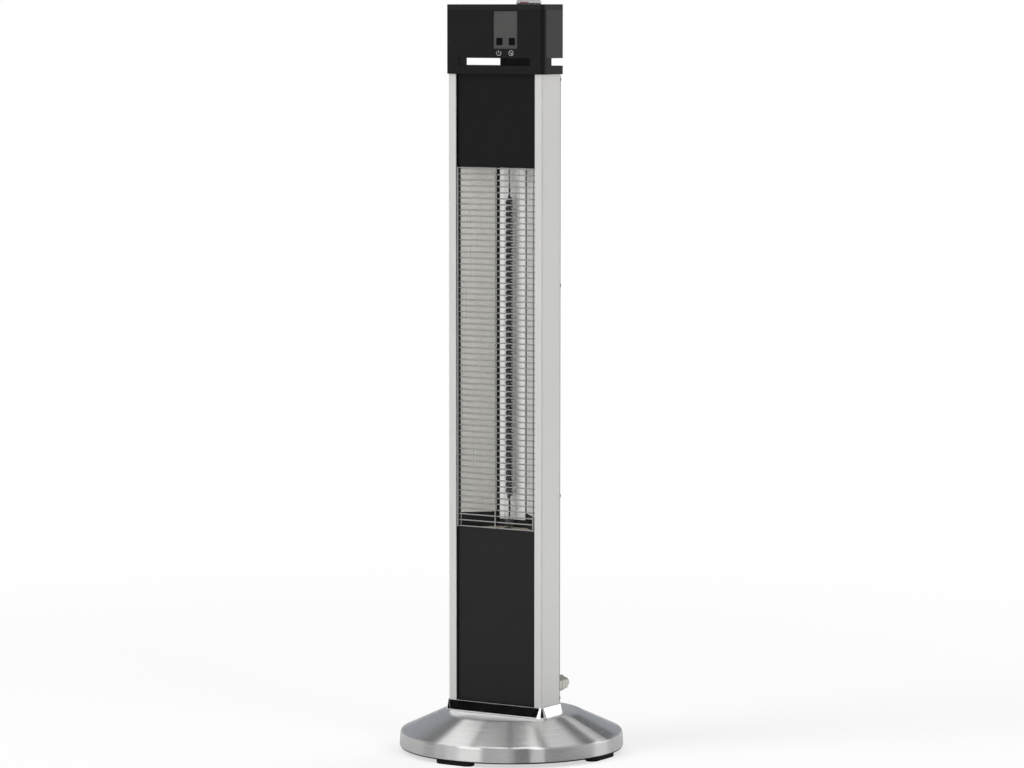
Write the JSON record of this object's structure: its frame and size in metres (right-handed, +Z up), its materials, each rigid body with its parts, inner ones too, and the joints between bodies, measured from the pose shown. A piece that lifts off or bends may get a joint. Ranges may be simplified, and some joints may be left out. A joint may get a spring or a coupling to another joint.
{
  "type": "infrared patio heater tower",
  "caption": "Slim floor-standing infrared heater: weighted round base, aluminium column with a caged lamp and bent reflector, and a control head.",
  "frame": {"origin": "centre of the round base on the floor", "axes": "+Z up; the heater shines towards -Y; +X is to the right seen from the front"},
  "size_m": [0.2998, 0.2998, 1.0035],
  "materials": {
    "spun_steel": "spun, satin",
    "black_steel": "black paint",
    "cast_iron": "raw casting",
    "rubber": "matt",
    "zinc_screw": "zinc plated",
    "chrome": "mirror",
    "zinc_plate": "zinc plated",
    "profile_aluminium": "satin anodised",
    "panel_black": "fine matt powder coat",
    "rear_black": "fine matt powder coat",
    "black_screw": "blackened",
    "grille_wire": "bright wire",
    "shield_steel": "dark",
    "reflector": "polished",
    "chamber_sheet": "mill finish",
    "quartz": "clear",
    "carbon": "carbon fibre, matt",
    "lead_metal": "wire",
    "ceramic": "unglazed",
    "spring_steel": "bright",
    "wire_sleeve": "heat-proof sleeve",
    "terminal_plastic": "moulded",
    "switch_plastic": "moulded",
    "gland_nickel": "nickel plated brass",
    "head_plastic": "fine moulded texture",
    "fascia_plastic": "fine moulded texture",
    "window_grey": "tinted",
    "button_black": "moulded",
    "board_green": "lacquered",
    "relay_blue": "moulded",
    "led_red": "clear tinted",
    "rocker_red": "moulded",
    "boot_clear": "clear soft plastic"
  },
  "bodies": {
    "tower": {"base_cover": "spun_steel", "base_plate": "black_steel", "ballast_disc": "cast_iron", "rubber_feet": "rubber", "foot_screws": "zinc_screw", "base_bolts": "zinc_screw", "base_nuts": "zinc_screw", "base_skirt": "chrome", "column_foot": "zinc_plate", "profile_screws": "zinc_screw", "side_profile_left": "profile_aluminium", "side_profile_right": "profile_aluminium", "front_panel_upper": "panel_black", "front_panel_lower": "panel_black", "rear_cover": "rear_black", "rear_cover_screws": "black_screw", "grille": "grille_wire", "heat_shield": "shield_steel", "reflector_back": "reflector", "reflector_left": "reflector", "reflector_right": "reflector", "chamber_floor": "chamber_sheet", "chamber_top": "chamber_sheet", "quartz_tube": "quartz", "carbon_spiral": "carbon", "lamp_leads": "lead_metal", "lamp_end_caps": "ceramic", "lamp_clips": "spring_steel", "inner_wiring": "wire_sleeve", "terminal_block": "terminal_plastic", "tip_switch": "switch_plastic", "gland_body": "gland_nickel", "gland_washer": "rubber", "gland_insert": "rubber", "gland_dome_nut": "gland_nickel", "gland_locknut": "gland_nickel", "head_base": "head_plastic", "head_fascia": "fascia_plastic", "head_housing": "head_plastic", "head_lid": "head_plastic", "head_screws": "zinc_screw", "control_window": "window_grey", "tact_switches": "spring_steel", "control_board": "board_green", "relay": "relay_blue", "indicator_lamps": "led_red", "switch_body": "switch_plastic", "switch_boot": "boot_clear"},
    "power_button": {"button_power": "button_black", "plunger_power": "switch_plastic"},
    "timer_button": {"button_timer": "button_black", "plunger_timer": "switch_plastic"},
    "rocker": {"rocker": "rocker_red"}
  },
  "joints": [
    {"name": "power_press", "type": "slide", "parent": "tower", "child": "power_button", "axis": [0, 1, 0], "range_m": [0, 0.0008], "stiffness_N_per_m": 1200, "springref_m": -0.0005},
    {"name": "timer_press", "type": "slide", "parent": "tower", "child": "timer_button", "axis": [0, 1, 0], "range_m": [0, 0.0008], "stiffness_N_per_m": 1200, "springref_m": -0.0005},
    {"name": "rocker_tilt", "type": "hinge", "parent": "tower", "child": "rocker", "pos_m": [0.0379, -0.0181, 0.9931], "axis": [0, 1, 0], "range_deg": [-20, 0]}
  ]
}
